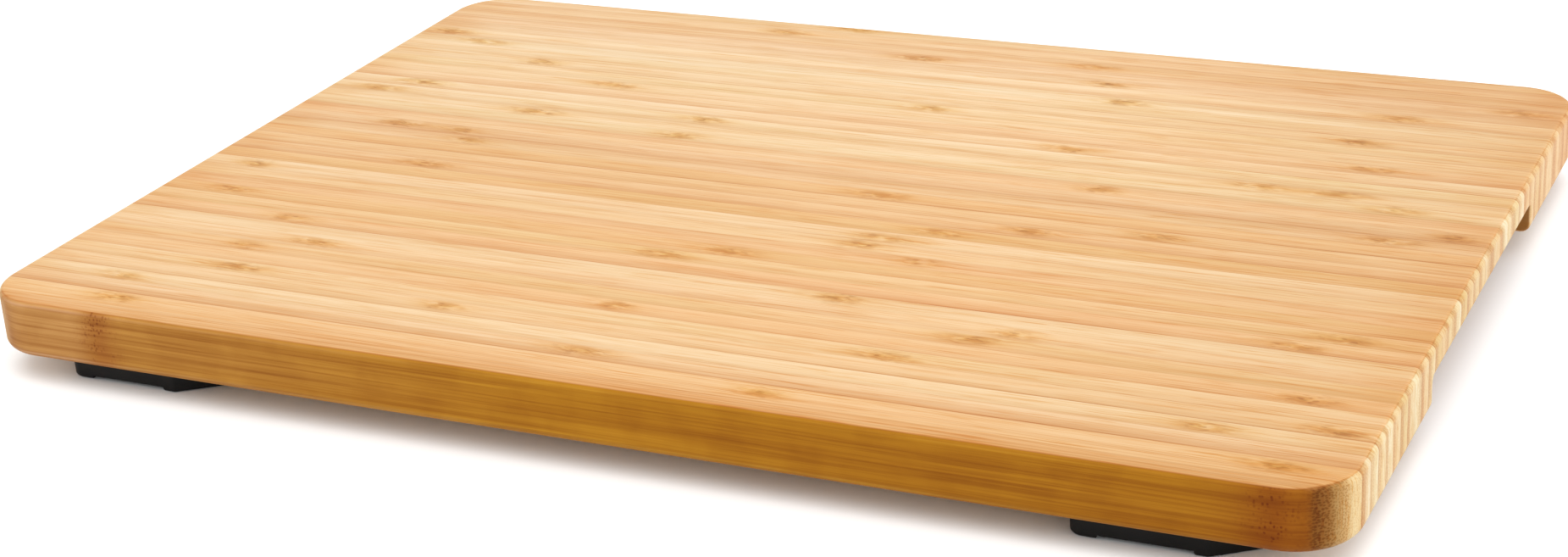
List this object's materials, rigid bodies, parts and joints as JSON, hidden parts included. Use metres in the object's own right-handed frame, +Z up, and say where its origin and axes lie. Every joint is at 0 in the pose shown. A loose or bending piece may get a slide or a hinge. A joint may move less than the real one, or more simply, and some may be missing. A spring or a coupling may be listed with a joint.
{
  "type": "cutting board",
  "caption": "Rectangular laminated bamboo cutting board with rounded corners, a finger grip under each end and low rubber feet.",
  "frame": {"origin": "on the standing surface, under the middle of the board", "axes": "+X along the bamboo strips to the right-hand end, +Y to the back edge, +Z up from the standing surface to the cutting face"},
  "size_m": [0.45, 0.326, 0.0286],
  "materials": {
    "bamboo_honey": "planed and sanded bamboo, satin oil finish",
    "bamboo_straw": "planed and sanded bamboo, satin oil finish",
    "bamboo_rose": "planed and sanded bamboo, satin oil finish",
    "bamboo_caramel": "planed and sanded bamboo, satin oil finish",
    "foot_rubber": "moulded rubber, matt",
    "screw_steel": "zinc plated"
  },
  "bodies": {
    "root": {"bamboo_strip_01": "bamboo_caramel", "bamboo_strip_02": "bamboo_rose", "bamboo_strip_03": "bamboo_straw", "bamboo_strip_04": "bamboo_honey", "bamboo_strip_05": "bamboo_honey", "bamboo_strip_06": "bamboo_rose", "bamboo_strip_07": "bamboo_straw", "bamboo_strip_08": "bamboo_honey", "bamboo_strip_09": "bamboo_honey", "bamboo_strip_10": "bamboo_rose", "bamboo_strip_11": "bamboo_straw", "bamboo_strip_12": "bamboo_honey", "bamboo_strip_13": "bamboo_honey", "bamboo_strip_14": "bamboo_rose", "bamboo_strip_15": "bamboo_straw", "bamboo_strip_16": "bamboo_honey", "bamboo_strip_17": "bamboo_honey", "bamboo_strip_18": "bamboo_rose", "bamboo_strip_19": "bamboo_straw", "bamboo_strip_20": "bamboo_honey", "bamboo_strip_21": "bamboo_honey", "bamboo_strip_22": "bamboo_rose", "bamboo_strip_23": "bamboo_straw", "bamboo_strip_24": "bamboo_honey", "bamboo_strip_25": "bamboo_honey", "bamboo_strip_26": "bamboo_rose", "bamboo_strip_27": "bamboo_straw", "bamboo_strip_28": "bamboo_honey", "bamboo_strip_29": "bamboo_honey", "bamboo_strip_30": "bamboo_rose", "bamboo_strip_31": "bamboo_straw", "bamboo_strip_32": "bamboo_honey", "bamboo_strip_33": "bamboo_honey", "bamboo_strip_34": "bamboo_rose", "bamboo_strip_35": "bamboo_straw", "bamboo_strip_36": "bamboo_honey", "bamboo_strip_37": "bamboo_honey", "bamboo_strip_38": "bamboo_rose", "foot_front_left": "foot_rubber", "foot_front_right": "foot_rubber", "foot_rear_left": "foot_rubber", "foot_rear_right": "foot_rubber", "foot_screws": "screw_steel"}
  },
  "joints": []
}
